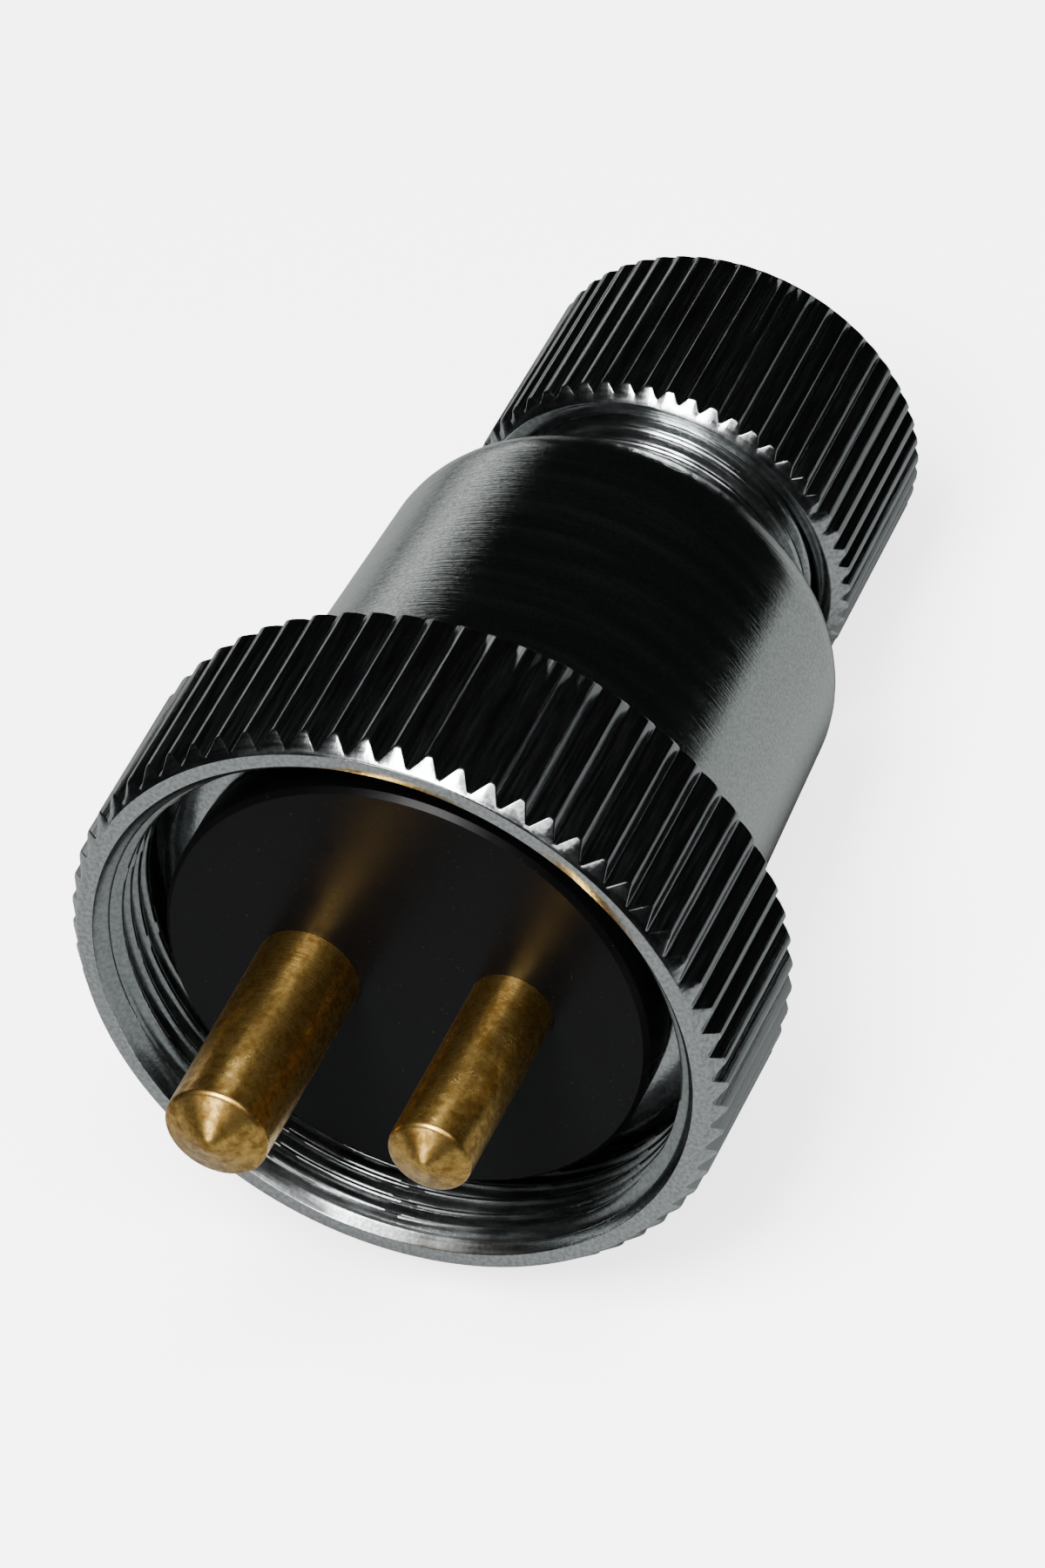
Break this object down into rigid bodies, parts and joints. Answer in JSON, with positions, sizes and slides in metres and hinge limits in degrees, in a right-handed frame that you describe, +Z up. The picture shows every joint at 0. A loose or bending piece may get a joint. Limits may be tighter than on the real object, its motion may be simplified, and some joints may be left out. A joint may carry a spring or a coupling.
{
  "type": "circular cable plug",
  "caption": "Circular cable plug: knurled coupling nut, round contact pins in a moulded insert, tapered barrel and knurled cable gland nut.",
  "frame": {"origin": "centre of the coupling nut's front face, where the mating socket enters", "axes": "+Y along the plug's axis from the mating face to the cable end; +Z up; the two contacts lie on the X axis, the larger at -X"},
  "size_m": [0.032, 0.0548, 0.032],
  "materials": {
    "black_chrome": "black chrome plated brass, glossy",
    "satin_black_metal": "turned and satin black plated",
    "insert_black": "glossy moulded thermoset",
    "contact_brass": "satin turned brass",
    "plain_brass": "plain brass",
    "steel": "zinc plated",
    "rubber": "moulded",
    "liner_plastic": "natural"
  },
  "bodies": {
    "plug_body": {"plug_shell": "satin_black_metal", "shell_o_ring": "rubber", "locating_pin": "steel", "contact_insert": "insert_black", "face_gasket": "rubber", "insert_washer": "steel", "insert_ring_nut": "plain_brass", "insulating_sleeve": "liner_plastic", "backshell": "satin_black_metal", "gland_front_washer": "steel", "gland_seal": "rubber", "contact_pin_large": "contact_brass", "contact_pin_small": "contact_brass", "solder_tag_large": "plain_brass", "solder_tag_small": "plain_brass", "lock_washer_large": "steel", "lock_washer_small": "steel", "pin_nut_large": "plain_brass", "pin_nut_small": "plain_brass"},
    "slip_ring": {"coupling_slip_ring": "plain_brass"},
    "coupling_nut_body": {"coupling_nut": "black_chrome"},
    "thrust_ring": {"gland_thrust_ring": "steel"},
    "gland_nut_body": {"gland_nut": "black_chrome"}
  },
  "joints": [
    {"name": "coupling_float", "type": "slide", "parent": "plug_body", "child": "slip_ring", "axis": [0, 1, 0], "range_m": [0, 0.00075]},
    {"name": "coupling_spin", "type": "hinge", "parent": "slip_ring", "child": "coupling_nut_body", "pos_m": [0, 0, 0], "axis": [0, 1, 0], "continuous": true},
    {"name": "gland_feed", "type": "slide", "parent": "plug_body", "child": "thrust_ring", "axis": [0, 1, 0], "range_m": [-0.002, 0.002], "deforming": ["gland_seal"]},
    {"name": "gland_spin", "type": "hinge", "parent": "thrust_ring", "child": "gland_nut_body", "pos_m": [0, 0, 0], "axis": [0, 1, 0], "range_deg": [-720, 720]}
  ],
  "couplings": [
    {"joint": "gland_feed", "follows": "gland_spin", "m_per_rad": 0.00015915}
  ]
}
